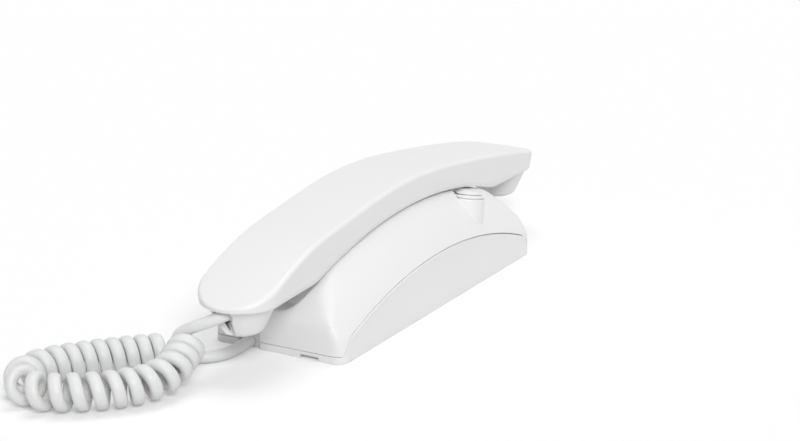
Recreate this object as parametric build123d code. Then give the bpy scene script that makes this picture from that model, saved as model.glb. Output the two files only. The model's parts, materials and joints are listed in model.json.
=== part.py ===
from build123d import *
import math
import os

# Audio intercom handset: a slim handset lying along an arched base, joined to it by a curly cord.
# Millimetres. +Y runs from the mouth end to the ear end, +Z is up from the wall or desk,
# and the origin is the middle of the base's flat back.

os.makedirs("parts", exist_ok=True)

# Base, outside
base_length = 154.0
base_width = 56.7
base_corner_radius = 4.5
seam_height = 22.0
crease_height = 29.5
crease_half_width = 23.4
hump_height = 38.7
hump_half_width = 14.3
hump_radius = 211.2
shoulder_bulge = 1.0
end_face_height = 14.2
end_slope_length = 13.5
end_lip_height = 2.8
end_lip_run = 1.6
end_step_run = 6.6
seam_gap = 0.3
casing_wall = 2.0
floor_thickness = 2.0
scoop_half_width = 9.0
scoop_depth = 2.6
pry_notch_x = 14.0
pry_notch_width = 8.0
pry_notch_height = 1.5

# Base, fixings and openings
case_pillar_x = 18.5
case_pillar_y = 63.5
case_pillar_diameter = 7.2
case_pillar_split_height = 8.6
case_screw_shank_diameter = 2.6
case_screw_clearance = 0.3
case_screw_pilot_clearance = 0.05
case_screw_head_diameter = 5.2
case_screw_head_height = 1.5
case_screw_head_recess = 1.1
case_screw_bite = 7.0
case_pilot_spare = 1.0
head_recess_clearance = 0.2
wall_hole_spacing = 83.5
wall_hole_diameter = 4.4
cable_entry_length = 12.0
cable_entry_width = 18.0
cable_entry_y = 58.0

# Cord entry at the base's mouth end
cord_entry_x = -12.0
grommet_width = 9.0
grommet_length = 9.0
grommet_height = 6.4
grommet_recess = 1.0
grommet_clearance = 0.1
grommet_rib_thickness = 1.5
lead_diameter = 3.4
lead_height = 4.2
lead_slot_clearance = 0.2

# Circuit board and what stands on it
board_length = 66.0
board_width = 42.0
board_thickness = 1.6
board_underside_height = 8.0
board_post_diameter = 5.0
board_post_inset = 4.0
board_screw_diameter = 2.2
board_screw_head_diameter = 4.4
board_screw_head_height = 1.4
board_screw_bite = 4.0
board_hole_clearance = 0.2
terminal_length = 8.0
terminal_pitch = 5.0
terminal_count = 3
terminal_height = 10.0
terminal_y = 26.0
terminal_screw_diameter = 3.0
terminal_screw_depth = 2.0
terminal_screw_clearance = 0.1
terminal_wire_hole_diameter = 2.6
terminal_wire_height = 3.2
buzzer_diameter = 14.0
buzzer_height = 7.5
buzzer_hole_diameter = 2.0
buzzer_hole_depth = 1.0
buzzer_x = -11.0
buzzer_y = -18.0
capacitor_diameter = 6.3
capacitor_height = 9.0
capacitor_x = 12.0
capacitor_spacing = 9.0
capacitor_y = -12.0
chip_length = 9.8
chip_width = 6.2
chip_height = 1.8
chip_y = -10.0
connector_length = 6.0
connector_width = 8.0
connector_height = 5.5
connector_x = -8.0
connector_y = -29.0

# Hook switch: plunger, spring, bracket and switch
hook_y = 12.0
hook_travel = 2.5
plunger_diameter = 5.0
plunger_flange_diameter = 9.5
plunger_flange_thickness = 1.5
plunger_tip_rounding = 0.8
plunger_running_clearance = 0.08
rest_clearance = 0.3
hook_switch_length = 12.8
hook_switch_width = 5.8
hook_switch_height = 6.5
hook_switch_button_diameter = 2.4
hook_switch_button_height = 1.0
bracket_width = 12.0
bracket_length = 17.2
bracket_wall = 1.2
bracket_height = 12.0
spring_wire_diameter = 0.7
spring_mean_diameter = 7.4
spring_curls = 5

# Door release button on the shoulder. Its heights are distances from the arcs' shared axis.
button_x = 18.2
button_y = 39.0
button_seat_radius = 208.6
button_tower_diameter = 14.2
button_diameter = 10.4
button_travel = 1.2
button_rim_height = 1.6
button_dome_rise = 1.3
button_flange_width = 0.45
button_flange_height = 1.0
button_flange_drop = 1.1
button_gap = 0.28
bezel_diameter = 13.2
bezel_height = 1.3
bezel_rounding = 0.4
bezel_skirt_depth = 3.2
bezel_skirt_diameter = 12.2
bezel_fit = 0.05
button_running_clearance = 0.08
button_well_depth = 8.4
button_ledge_depth = 1.5
button_ledge_width = 1.0
button_board_thickness = 1.2
door_switch_width = 6.0
door_switch_height = 3.4
door_stem_diameter = 3.4
door_stem_length = 3.5
door_stem_clearance = 0.1
door_stem_spare = 0.6

# Handset, outside
handset_half_width = 16.5
handset_end_y = 100.0
handset_mouth_reach = 18.55
handset_ear_reach = 17.95
handset_top_height = 51.5
handset_seat_gap = 0.8
handset_wall_lean = 9.0
handset_end_under_height = 27.6
handset_under_rounding = 14.0
cover_wall = 2.0
cover_fit = 0.15
shell_thickness = 2.0
boss_y = 99.6
boss_top_diameter = 25.8
boss_bottom_diameter = 15.0
boss_drop = 11.8
boss_rounding = 4.0
boss_wall = 2.0
sound_hole_diameter = 1.6
sound_hole_ring_diameter = 6.4
sound_hole_count = 6
handset_post_y = 62.0
handset_post_diameter = 6.0
handset_post_gap = 1.6
handset_screw_boss_diameter = 8.0
handset_screw_seat_rise = 2.2
handset_screw_diameter = 2.6
handset_screw_head_diameter = 4.8
handset_screw_head_height = 1.0
handset_screw_bite = 6.0

# Half widths along the side as shares of the middle one, and heights of the top
# as shares from the ends' underside to the top. Both run from mouth to ear.
handset_side_shares = [(-1.0, 1.15), (-0.8, 1.08), (-0.5, 1.03), (0.0, 1.0), (0.5, 1.03), (0.8, 1.05),
                       (1.0, 1.08)]
handset_top_shares = [(-1.05, -0.11), (-0.895, 0.226), (-0.776, 0.47), (-0.658, 0.657), (-0.422, 0.845),
                      (-0.169, 0.979), (0.084, 0.979), (0.338, 0.837), (0.608, 0.632), (0.802, 0.448),
                      (0.911, 0.318), (1.05, 0.1)]

# Inside the handset
earpiece_diameter = 18.0
earpiece_height = 3.6
earpiece_magnet_diameter = 10.0
earpiece_magnet_height = 1.0
earpiece_fit = 0.2
earpiece_seat_rise = 8.2
earpiece_chamber_top_diameter = 15.0
earpiece_chamber_bottom_diameter = 9.0
gasket_thickness = 0.8
microphone_diameter = 6.0
microphone_height = 3.4
microphone_lip = 0.6
microphone_window_diameter = 4.0
microphone_fit = 0.05
microphone_boot_diameter = 9.6
microphone_boot_height = 5.0
microphone_collar_wall = 1.2
microphone_collar_height = 3.0

# Curly cord
cord_diameter = 4.5
coil_diameter = 14.3
curl_count = 22
curl_gap = 0.5
loose_curls_share = 0.33
loose_curls_place_share = 0.37
loose_curls_spread_share = 0.13
first_curl_lean = 22.0
last_curl_lean = 180.0
coil_hook_radius = 5.6
coil_samples = 200
bend_window_share = 0.022
inner_reach_share = 1.12
arc_run_share = 0.45
handset_tail_run = 7.0
base_tail_run = 4.6
handset_exit_shares = (-0.62, -0.72, -0.31)
gland_diameter = 5.8
gland_flange_diameter = 7.4
gland_length = 4.2
gland_flange_length = 1.4
gland_housing_wall = 1.2
gland_fit = 0.15
cord_notch_width = 7.0
cord_notch_clearance = 0.7
coil_rest_gap = 0.2
coil_hang_drop = 13.4

# The coil's axis: first where it hangs from the handset, with shares of its rise, then on the floor
coil_hang_points = [(-12.6, -114.6, 1.0), (-11.2, -122.6, 0.577), (-9.8, -131.0, 0.241),
                    (-11.8, -140.2, 0.051)]
coil_floor_points = [(-17.4, -148.6), (-24.8, -156.4), (-33.6, -162.9), (-42.4, -166.1), (-50.9, -163.3),
                     (-55.9, -155.8), (-55.2, -146.8), (-50.6, -138.8), (-44.6, -131.0), (-38.2, -123.8),
                     (-31.9, -117.2), (-26.2, -112.0)]
base_tail_points = [(-13.88, -95.59), (-12.08, -91.14), (-11.7, -85.9), (-12.0, -81.0)]
base_lead_points = [(-12.0, -57.0, 4.2), (-8.0, -43.0, 12.35)]

# How far cuts run past what they cut, and the turns of a circle
overrun = 10.0
half_turn = 180.0
quarter_turn = 90.0
full_turn = 360.0
middle_share = 0.5
sweep_margin = 6.0

# Heights and radii that follow from the driving sizes. The base's arcs share one axis along X.
arc_axis_height = hump_height - hump_radius
arc_axis = Axis((0, 0, arc_axis_height), (1, 0, 0))
seam_radius = seam_height - arc_axis_height
handset_under_radius = hump_radius + handset_seat_gap
half_length = base_length / 2
half_width = base_width / 2
case_head_seat = case_screw_head_recess + case_screw_head_height
board_post_x = board_width / 2 - board_post_inset
board_post_y = board_length / 2 - board_post_inset
board_top = board_underside_height + board_thickness
grommet_front_y = grommet_recess - half_length
grommet_back_y = grommet_front_y + grommet_length
bracket_top = board_top + bracket_height
plunger_top = math.sqrt(handset_under_radius**2 - hook_y**2) + arc_axis_height - rest_clearance
casing_inner_radius = hump_radius - casing_wall
flange_outer_y = hook_y + plunger_flange_diameter / 2
plunger_flange_top = (math.sqrt(casing_inner_radius**2 - flange_outer_y**2) + arc_axis_height
                      - hook_travel - 2 * rest_clearance)
plunger_flange_foot = plunger_flange_top - plunger_flange_thickness
plunger_foot = board_top + hook_switch_height + hook_switch_button_height + rest_clearance
button_ring_diameter = button_diameter + 2 * button_gap
button_flange_diameter = button_diameter + 2 * button_flange_width
button_foot = button_seat_radius - button_flange_drop
button_board_seat = button_seat_radius - button_well_depth
door_switch_foot = button_board_seat + button_board_thickness
door_stem_foot = button_foot - door_stem_length
bezel_bore_diameter = bezel_skirt_diameter + 2 * bezel_fit
wall_lean_share = math.tan(math.radians(handset_wall_lean))
shell_inset = cover_wall + cover_fit
post_under_height = max(math.sqrt(handset_under_radius**2 - handset_post_y**2) + arc_axis_height,
                        handset_end_under_height)
handset_screw_seat_height = post_under_height + handset_screw_seat_rise
handset_post_foot_height = handset_screw_seat_height + handset_post_gap
boss_foot = handset_end_under_height - boss_drop
boss_floor = boss_foot + boss_wall
earpiece_seat_height = boss_foot + earpiece_seat_rise
coil_mean_radius = (coil_diameter - cord_diameter) / 2
coil_rest_height = coil_diameter / 2 + coil_rest_gap
coil_rise = handset_end_under_height - coil_hang_drop - coil_rest_height
base_span = base_width + overrun


def save(node, shape):
    """Write one sub-part under its node's name."""
    shape.label = node
    export_step(shape, f"parts/{node}.step")


def arc_height(radius, y):
    """Height of an arc about the shared axis, at distance y from the middle."""
    return math.sqrt(radius**2 - y**2) + arc_axis_height


def side_prism(face, width):
    """Extrude an outline drawn in Y and Z to half the width on each side."""
    return extrude(Plane.YZ * face, width / 2, both=True)


def post(x, y, low, high, diameter):
    """An upright cylinder between two heights."""
    return Pos(x, y, (low + high) / 2) * Cylinder(diameter / 2, high - low)


def cone(y, low, high, low_diameter, high_diameter):
    """An upright cone on the centre line between two heights."""
    return Pos(0, y, (low + high) / 2) * Cone(low_diameter / 2, high_diameter / 2, high - low)


def block(x, y, low, width, length, height):
    """A box standing at height low."""
    return Pos(x, y, low + height / 2) * Box(width, length, height)


def corners(x, y):
    """The four places at plus and minus x and y."""
    return [(side * x, end * y) for side in (-1, 1) for end in (-1, 1)]


# Base casings

def seam_face(rise):
    """The side outline of the lower casing, raised by rise where it meets the upper one."""
    lip_y = half_length - end_lip_run
    arc_y = half_length - end_step_run
    lip = end_lip_height + rise
    arc_z = arc_height(seam_radius + rise, arc_y)
    far = half_length + overrun
    lower = Polyline((-arc_y, arc_z), (-lip_y, lip), (-far, lip), (-far, -overrun), (far, -overrun),
                     (far, lip), (lip_y, lip), (arc_y, arc_z))
    arch = ThreePointArc((-arc_y, arc_z), (0, seam_height + rise), (arc_y, arc_z))
    return make_face(lower + arch)


def casing_section(inset):
    """The base's cross-section at its middle, shrunk by inset, with its sides leaning to the floor."""
    side = half_width - inset
    seam = seam_height - inset
    crease = Vector(crease_half_width - inset, crease_height - inset)
    hump = Vector(hump_half_width - inset / 2, hump_height - inset)
    outward = Vector(hump.Y - crease.Y, crease.X - hump.X).normalized()
    bulged = (crease + hump) / 2 + outward * shoulder_bulge
    foot_x = side + (side - crease.X) / (crease.Y - seam) * (seam + floor_thickness)
    top = Polyline((0, hump.Y), (hump.X, hump.Y))
    shoulder = ThreePointArc((hump.X, hump.Y), (bulged.X, bulged.Y), (crease.X, crease.Y))
    wall = Polyline((crease.X, crease.Y), (foot_x, -floor_thickness), (0, -floor_thickness), (0, hump.Y))
    half = make_face(top + shoulder + wall)
    return half + mirror(half, Plane.YZ)


def end_profile(inset):
    """The side outline of the upper casing, with its sloping ends."""
    end = half_length - inset
    low = end_face_height - inset
    slope_y = half_length - end_slope_length - inset / 2
    slope_z = arc_height(hump_radius, slope_y)
    above = hump_height + overrun
    top_y = slope_y - (above - slope_z) * (end - slope_y) / (slope_z - low)
    return make_face(Polyline((-end, -overrun), (-end, low), (-top_y, above), (top_y, above), (end, low),
                              (end, -overrun), (-end, -overrun)))


def casing_form(inset):
    """The upper casing's whole form, down to the floor, shrunk by inset, with rounded ends."""
    length = base_length - 2 * inset
    width = base_width - 2 * inset
    corner = base_corner_radius - inset
    sweep_half = math.degrees(math.asin(half_length / (-floor_thickness - arc_axis_height))) + sweep_margin
    start = (Plane.XZ * casing_section(inset)).rotate(arc_axis, -sweep_half)
    body = revolve(start, arc_axis, 2 * sweep_half)
    body &= block(0, 0, 0, 2 * base_width, length, hump_height + overrun)
    end_edges = [edge for face in body.faces().filter_by(Axis.Y) for edge in face.edges()
                 if (edge @ middle_share).Z > end_lip_run]
    body = fillet(end_edges, corner)
    body &= extrude(RectangleRounded(width, length, corner), hump_height + overrun)
    return body & side_prism(end_profile(inset), base_span)


def scoop(end, inset):
    """The shallow groove down the sloping end, under the handset's boss, grown by inset."""
    radius = (scoop_half_width**2 + scoop_depth**2) / (2 * scoop_depth)
    slope_y = half_length - end_slope_length
    high = Vector(0, end * slope_y, arc_height(hump_radius, slope_y))
    low = Vector(0, end * half_length, end_face_height)
    along = (low - high).normalized()
    above = Vector(0, end * -along.Z, end * along.Y)
    place = Plane((high + low) / 2 + above * (radius - scoop_depth), z_dir=along)
    return extrude(place * Circle(radius + inset), end_slope_length * 2, both=True)


def lower_casing():
    inner_corner = base_corner_radius - casing_wall
    plan = extrude(RectangleRounded(base_width, base_length, base_corner_radius), seam_height)
    hollow = Pos(0, 0, floor_thickness) * extrude(
        RectangleRounded(base_width - 2 * casing_wall, base_length - 2 * casing_wall, inner_corner), seam_height)
    tray = (plan & side_prism(seam_face(0), base_span)) - hollow
    for x, y in corners(case_pillar_x, case_pillar_y):
        tray += post(x, y, 0, case_pillar_split_height, case_pillar_diameter)
        tray -= post(x, y, -overrun, hump_height, case_screw_shank_diameter + 2 * case_screw_clearance)
        tray -= post(x, y, -overrun, case_head_seat, case_screw_head_diameter + 2 * head_recess_clearance)
    for x, y in corners(board_post_x, board_post_y):
        tray += post(x, y, 0, board_underside_height, board_post_diameter)
        tray -= post(x, y, board_underside_height - board_screw_bite, hump_height,
                     board_screw_diameter + 2 * case_screw_pilot_clearance)
    for end in (-1, 1):
        tray -= post(0, end * wall_hole_spacing / 2, -overrun, floor_thickness + overrun, wall_hole_diameter)
    tray -= Pos(0, cable_entry_y, 0) * Box(cable_entry_width, cable_entry_length, overrun)
    tray -= block(pry_notch_x, -half_length, -overrun, pry_notch_width, 2 * casing_wall,
                  overrun + pry_notch_height)
    rib_y = grommet_back_y + grommet_clearance + grommet_rib_thickness / 2
    tray += block(cord_entry_x, rib_y, 0, grommet_width, grommet_rib_thickness, grommet_height)
    tray -= block(cord_entry_x, rib_y, lead_height - lead_diameter / 2 - lead_slot_clearance,
                  lead_diameter + 2 * lead_slot_clearance, 2 * grommet_rib_thickness, grommet_height)
    return tray - grommet_room()


def grommet_room():
    """The slot through both casings that the cord's grommet sits in."""
    front = -half_length - overrun
    back = grommet_back_y + grommet_clearance
    return block(cord_entry_x, (front + back) / 2, -overrun, grommet_width + 2 * grommet_clearance,
                 back - front, overrun + grommet_height + grommet_clearance)


def upper_casing():
    outer = casing_form(0)
    room = casing_form(casing_wall) - scoop(1, casing_wall) - scoop(-1, casing_wall)
    shell = outer - room - scoop(1, 0) - scoop(-1, 0) - side_prism(seam_face(seam_gap), base_span)
    pilot_top = case_pillar_split_height + case_screw_bite + case_pilot_spare
    for x, y in corners(case_pillar_x, case_pillar_y):
        shell += post(x, y, case_pillar_split_height, hump_height, case_pillar_diameter) & outer
        shell -= post(x, y, 0, pilot_top, case_screw_shank_diameter + 2 * case_screw_pilot_clearance)
    shell -= post(0, hook_y, board_top, hump_height + overrun,
                  plunger_diameter + 2 * plunger_running_clearance)
    shell += button_rod(button_board_seat - button_ledge_depth, button_seat_radius, button_tower_diameter)
    shell -= button_rod(button_seat_radius, button_seat_radius + overrun, button_tower_diameter)
    shell -= button_rod(button_board_seat, button_seat_radius + overrun, bezel_bore_diameter)
    ledge_bore = bezel_bore_diameter - 2 * button_ledge_width
    shell -= button_rod(button_board_seat - overrun, button_board_seat, ledge_bore)
    return shell - grommet_room()


# Door release button: its rods stand on an axis square to the base's arcs

def button_place(radius):
    """The plane across the button's axis at this distance from the arcs' shared axis."""
    lean = math.asin(button_y / button_seat_radius)
    up = Vector(0, math.sin(lean), math.cos(lean))
    return Plane(Vector(button_x, 0, arc_axis_height) + up * radius, x_dir=(1, 0, 0), z_dir=up)


def button_rod(low, high, diameter):
    """A cylinder on the button's axis between two distances from the arcs' shared axis."""
    return extrude(button_place(low) * Circle(diameter / 2), high - low)


def bezel():
    ring = button_rod(button_seat_radius, button_seat_radius + bezel_height, bezel_diameter)
    outer_edge = ring.edges().filter_by(GeomType.CIRCLE).sort_by(Axis.Z)[-1]
    ring = fillet(outer_edge, bezel_rounding)
    ring += button_rod(button_seat_radius - bezel_skirt_depth, button_seat_radius, bezel_skirt_diameter)
    ring -= button_rod(button_seat_radius - overrun, button_seat_radius,
                       button_flange_diameter + 2 * button_running_clearance)
    return ring - button_rod(button_seat_radius, button_seat_radius + overrun, button_ring_diameter)


def door_button():
    rim = button_seat_radius + button_rim_height
    radius = ((button_diameter / 2)**2 + button_dome_rise**2) / (2 * button_dome_rise)
    dome = button_place(rim + button_dome_rise - radius) * Sphere(radius)
    cap = button_rod(button_foot, rim + button_dome_rise, button_diameter) & dome
    return cap + button_rod(button_foot, button_foot + button_flange_height, button_flange_diameter)


def door_stem():
    return button_rod(door_stem_foot, button_foot, door_stem_diameter)


def door_switch_body():
    body = extrude(button_place(door_switch_foot) * Rectangle(door_switch_width, door_switch_width),
                   door_switch_height)
    return body - button_rod(door_stem_foot - button_travel - door_stem_spare, button_seat_radius,
                             door_stem_diameter + 2 * door_stem_clearance)


def button_board():
    return button_rod(button_board_seat, door_switch_foot, bezel_bore_diameter - 2 * bezel_fit)


# Board and its components

def circuit_board():
    board = block(0, 0, board_underside_height, board_width, board_length, board_thickness)
    for x, y in corners(board_post_x, board_post_y):
        board -= post(x, y, 0, hump_height, board_screw_diameter + 2 * board_hole_clearance)
    return board


def board_screws():
    screws = []
    for x, y in corners(board_post_x, board_post_y):
        foot = board_underside_height - board_screw_bite + board_screw_head_height
        head_top = board_top + board_screw_head_height
        screws.append(post(x, y, foot, board_top, board_screw_diameter)
                      + post(x, y, board_top, head_top, board_screw_head_diameter))
    return Compound(children=screws)


def terminal_places():
    first = -(terminal_count - 1) / 2
    return [(first + number) * terminal_pitch for number in range(terminal_count)]


def terminal_block():
    body = block(0, terminal_y, board_top, terminal_count * terminal_pitch, terminal_length, terminal_height)
    top = board_top + terminal_height
    for x in terminal_places():
        body -= post(x, terminal_y, top - terminal_screw_depth, top + overrun,
                     terminal_screw_diameter + 2 * terminal_screw_clearance)
        hole = Plane((x, terminal_y, board_top + terminal_wire_height), z_dir=(0, 1, 0))
        body -= extrude(hole * Circle(terminal_wire_hole_diameter / 2), terminal_length)
    return body


def terminal_screws():
    top = board_top + terminal_height - terminal_screw_depth / 2
    foot = board_top + terminal_height - terminal_screw_depth
    return Compound(children=[post(x, terminal_y, foot, top, terminal_screw_diameter)
                              for x in terminal_places()])


def call_buzzer():
    top = board_top + buzzer_height
    can = post(buzzer_x, buzzer_y, board_top, top, buzzer_diameter)
    return can - post(buzzer_x, buzzer_y, top - buzzer_hole_depth, top + overrun, buzzer_hole_diameter)


def board_capacitors():
    top = board_top + capacitor_height
    return Compound(children=[post(capacitor_x, capacitor_y + end * capacitor_spacing / 2, board_top, top,
                                   capacitor_diameter) for end in (-1, 1)])


# Hook switch

def hook_switch():
    body = block(0, hook_y, board_top, hook_switch_width, hook_switch_length, hook_switch_height)
    top = board_top + hook_switch_height
    return body + post(0, hook_y, top, top + hook_switch_button_height, hook_switch_button_diameter)


def hook_bracket():
    outer = block(0, hook_y, board_top, bracket_width, bracket_length, bracket_height)
    room = block(0, hook_y, board_top, bracket_width + overrun, bracket_length - 2 * bracket_wall,
                 bracket_height - bracket_wall)
    hole = post(0, hook_y, board_top, hump_height, plunger_diameter + 2 * plunger_running_clearance)
    return outer - room - hole


def hook_plunger():
    rod = post(0, hook_y, plunger_foot, plunger_top, plunger_diameter)
    rod = fillet(rod.edges().group_by(Axis.Z)[-1], plunger_tip_rounding)
    return rod + post(0, hook_y, plunger_flange_foot, plunger_flange_top, plunger_flange_diameter)


# Wound forms: each step between two stations is a pair of tangent arcs

def arc_from(start, direction, end):
    """The arc that leaves start along direction and ends at end."""
    chord = end - start
    along = chord.normalized()
    lean = math.radians(direction.get_angle(chord))
    rise = (direction - along * direction.dot(along)).normalized()
    return ThreePointArc(start, start + chord / 2 + rise * (chord.length / 2 * math.tan(lean / 2)), end)


def biarc(start, start_way, end, end_way):
    """Two tangent arcs from start to end, along their two directions."""
    across = end - start
    square = 2 * (1 - start_way.dot(end_way))
    linear = 2 * across.dot(start_way + end_way)
    reach = (-linear + math.sqrt(linear**2 + 4 * square * across.dot(across))) / (2 * square)
    joint = (start + start_way * reach + end - end_way * reach) / 2
    first = arc_from(start, start_way, joint)
    return [first, arc_from(joint, first % 1, end)]


def biarcs(places, ways):
    """The arcs through all the stations."""
    arcs = []
    for start, start_way, end, end_way in zip(places, ways, places[1:], ways[1:]):
        arcs += biarc(start, start_way, end, end_way)
    return arcs


def tube(edges, diameter):
    """A round tube along tangent edges, its ends square."""
    path = Wire(edges)
    start = edges[0]
    return sweep(Plane(start @ 0, z_dir=start % 0) * Circle(diameter / 2), path=path)


def least_gap(edges, diameter, curl_length):
    """The least gap between stretches of a tube more than half a curl apart, measured on points."""
    path = Wire(edges)
    count = round(path.length / diameter * 3)
    points = [tuple(path.position_at(number / count)) for number in range(count + 1)]
    skip = round(curl_length / 2 / path.length * count)
    least = min(math.dist(point, other) for number, point in enumerate(points)
                for other in points[number + skip:])
    return least - diameter


def report_tube(name, solid, edges, diameter):
    """Print a tube's length and how its volume compares with section times length."""
    length = sum(edge.length for edge in edges)
    print(name, "length", round(length, 1), "volume share",
          round(solid.volume / (length * math.pi * diameter**2 / 4), 4))


def hook_spring():
    radius = spring_mean_diameter / 2
    foot = bracket_top + spring_wire_diameter / 2 + rest_clearance / 2
    height = plunger_flange_foot - rest_clearance - spring_wire_diameter / 2 - foot
    climb = height / (spring_curls * full_turn / quarter_turn)
    places = []
    ways = []
    for number in range(round(spring_curls * full_turn / quarter_turn) + 1):
        angle = math.radians(number * quarter_turn)
        round_place = Vector(math.cos(angle), math.sin(angle), 0)
        places.append(Vector(0, hook_y, foot + climb * number) + round_place * radius)
        ways.append((Vector(-math.sin(angle), math.cos(angle), 0) * (radius * math.radians(quarter_turn))
                     + Vector(0, 0, climb)).normalized())
    edges = biarcs(places, ways)
    spring = tube(edges, spring_wire_diameter)
    report_tube("hook spring", spring, edges, spring_wire_diameter)
    return spring


# Curly cord

def rounded_route(name, points):
    """Straight runs through the points, with a tangent arc at each turn."""
    radii = []
    for before, here, after in zip(points, points[1:], points[2:]):
        first = Vector(*here) - Vector(*before)
        second = Vector(*after) - Vector(*here)
        half_lean = math.radians(first.get_angle(second)) / 2
        radii.append(arc_run_share * min(first.length, second.length) / math.tan(half_lean))
    print(name, "least bend radius", round(min(radii), 1))
    return FilletPolyline(*[tuple(point) for point in points], radius=radii)


class CurlyCord:
    """The coil's stations: a right-handed helix about a rounded route on the floor."""

    def __init__(self):
        hanging = [(x, y, coil_rest_height + share * coil_rise) for x, y, share in coil_hang_points]
        lying = [(x, y, coil_rest_height) for x, y in coil_floor_points]
        self.axis = rounded_route("coil axis", hanging + lying)
        turned = full_turn * curl_count + last_curl_lean - first_curl_lean
        self.steps = round(turned / quarter_turn)
        self.step_angle = turned / self.steps
        self.places = self.spread()

    def way(self, place):
        return self.axis.tangent_at(place, position_mode=PositionMode.LENGTH)

    def pitch_share(self, share):
        """How far apart curls lie here, as a share of the closed pitch on a straight stretch."""
        low = max(share - bend_window_share, 0) * self.axis.length
        high = min(share + bend_window_share, 1) * self.axis.length
        bend = math.radians(self.way(low).get_angle(self.way(high))) / (high - low)
        loose = math.exp(-((share - loose_curls_place_share) / loose_curls_spread_share)**2)
        return max(1 / (1 - inner_reach_share * coil_mean_radius * bend), 1 + loose_curls_share * loose)

    def spread(self):
        """The stations' places along the axis, closer where the curls lie closer."""
        slice_length = self.axis.length / coil_samples
        counted = [0]
        for number in range(coil_samples):
            share = (number + middle_share) / coil_samples
            counted.append(counted[-1] + slice_length / self.pitch_share(share))
        curls = self.steps * self.step_angle / full_turn
        print("coil closed pitch", round(counted[-1] / curls, 2), "wanted at least",
              round(cord_diameter + curl_gap, 2))
        places = []
        for station in range(self.steps + 1):
            target = counted[-1] * station / self.steps
            number = min(sum(1 for value in counted if value <= target), coil_samples) - 1
            within = (target - counted[number]) / (counted[number + 1] - counted[number])
            places.append(slice_length * (number + within))
        return places

    def wire_at(self, station):
        """The wire's centre at a station, which may lie between two whole ones."""
        number = max(min(int(station), self.steps - 1), 0)
        span = self.places[number + 1] - self.places[number]
        place = min(max(self.places[number] + (station - number) * span, 0), self.axis.length)
        centre = self.axis.position_at(place, position_mode=PositionMode.LENGTH)
        along = self.way(place)
        up = (Vector(0, 0, 1) - along * along.Z).normalized()
        side = along.cross(up)
        angle = math.radians(first_curl_lean + self.step_angle * station)
        return centre + (up * math.cos(angle) + side * math.sin(angle)) * coil_mean_radius

    def direction_at(self, station):
        low = max(station - bend_window_share, 0)
        high = min(station + bend_window_share, self.steps)
        return (self.wire_at(high) - self.wire_at(low)).normalized()

    def edges(self):
        """Straight end, curls, a hook from the last curl's foot to the axis, and a straight end."""
        places = [self.wire_at(station) for station in range(self.steps + 1)]
        ways = [self.direction_at(station) for station in range(self.steps + 1)]
        ways[-1] = Vector(ways[-1].X, ways[-1].Y, 0).normalized()
        out = self.axis % 1
        hook_way = (out - ways[-1] * out.dot(ways[-1])).normalized()
        hook_end = places[-1] + (ways[-1] + hook_way) * coil_hook_radius
        lead_in = Line(places[0] - ways[0] * cord_diameter, places[0])
        hook = arc_from(places[-1], ways[-1], hook_end)
        lead_out = Line(hook_end, hook_end + hook_way * cord_diameter)
        return [lead_in] + biarcs(places, ways) + [hook, lead_out]


coil_edges = CurlyCord().edges()
coil_start = coil_edges[0] @ 0
coil_end = coil_edges[-1] @ 1
handset_exit = Vector(*handset_exit_shares).normalized()
handset_tail_corner = coil_start - (coil_edges[0] % 0) * handset_tail_run
gland_face = handset_tail_corner - handset_exit * handset_tail_run


def cord_tail_handset():
    route = rounded_route("handset tail", [gland_face, handset_tail_corner, coil_start])
    tail = tube(route.edges(), cord_diameter)
    report_tube("handset tail", tail, route.edges(), cord_diameter)
    return tail


def cord_coil():
    coil = tube(coil_edges, cord_diameter)
    report_tube("coil", coil, coil_edges, cord_diameter)
    gap = least_gap(coil_edges, cord_diameter, math.pi * coil_diameter)
    print("coil least gap to itself", round(gap, 2), "foot", round(coil.bounding_box().min.Z, 2))
    return coil


def cord_tail_base():
    first = coil_end + (coil_edges[-1] % 1) * base_tail_run
    floor_points = [(x, y, coil_end.Z) for x, y in base_tail_points]
    points = [coil_end, first] + floor_points + [(cord_entry_x, grommet_front_y, coil_end.Z)]
    route = rounded_route("base tail", points)
    tail = tube(route.edges(), cord_diameter)
    report_tube("base tail", tail, route.edges(), cord_diameter)
    return tail


def base_lead():
    plug_height = board_top + connector_height / 2
    points = [(cord_entry_x, grommet_back_y, lead_height)] + base_lead_points + [
        (connector_x, connector_y - connector_length / 2, plug_height)]
    route = rounded_route("base lead", points)
    return tube(route.edges(), lead_diameter)


# Handset

def handset_outline(narrowed):
    """The handset's outline from above, with its half widths and ends narrowed by this much."""
    side = [(share * handset_half_width - narrowed, place * handset_end_y)
            for place, share in handset_side_shares]
    right = Spline(*side, tangents=[(0, 1), (0, 1)])
    mouth = EllipticalCenterArc((0, -handset_end_y), side[0][0], handset_mouth_reach - narrowed, half_turn,
                                arc_size=half_turn)
    ear = EllipticalCenterArc((0, handset_end_y), side[-1][0], handset_ear_reach - narrowed,
                              arc_size=half_turn)
    return make_face([mouth, right, ear, mirror(right, Plane.YZ)])


def handset_top_face(drop):
    """The side outline of everything under the handset's top, lowered by drop."""
    depth = handset_top_height - handset_end_under_height
    reach = handset_end_y + handset_mouth_reach
    foot = handset_end_under_height - drop
    points = [(place * reach, foot + share * depth) for place, share in handset_top_shares]
    first_y, last_y = points[0][0], points[-1][0]
    rest = Polyline(points[-1], (last_y, -overrun), (first_y, -overrun), points[0])
    return make_face([Spline(*points), rest])


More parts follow.
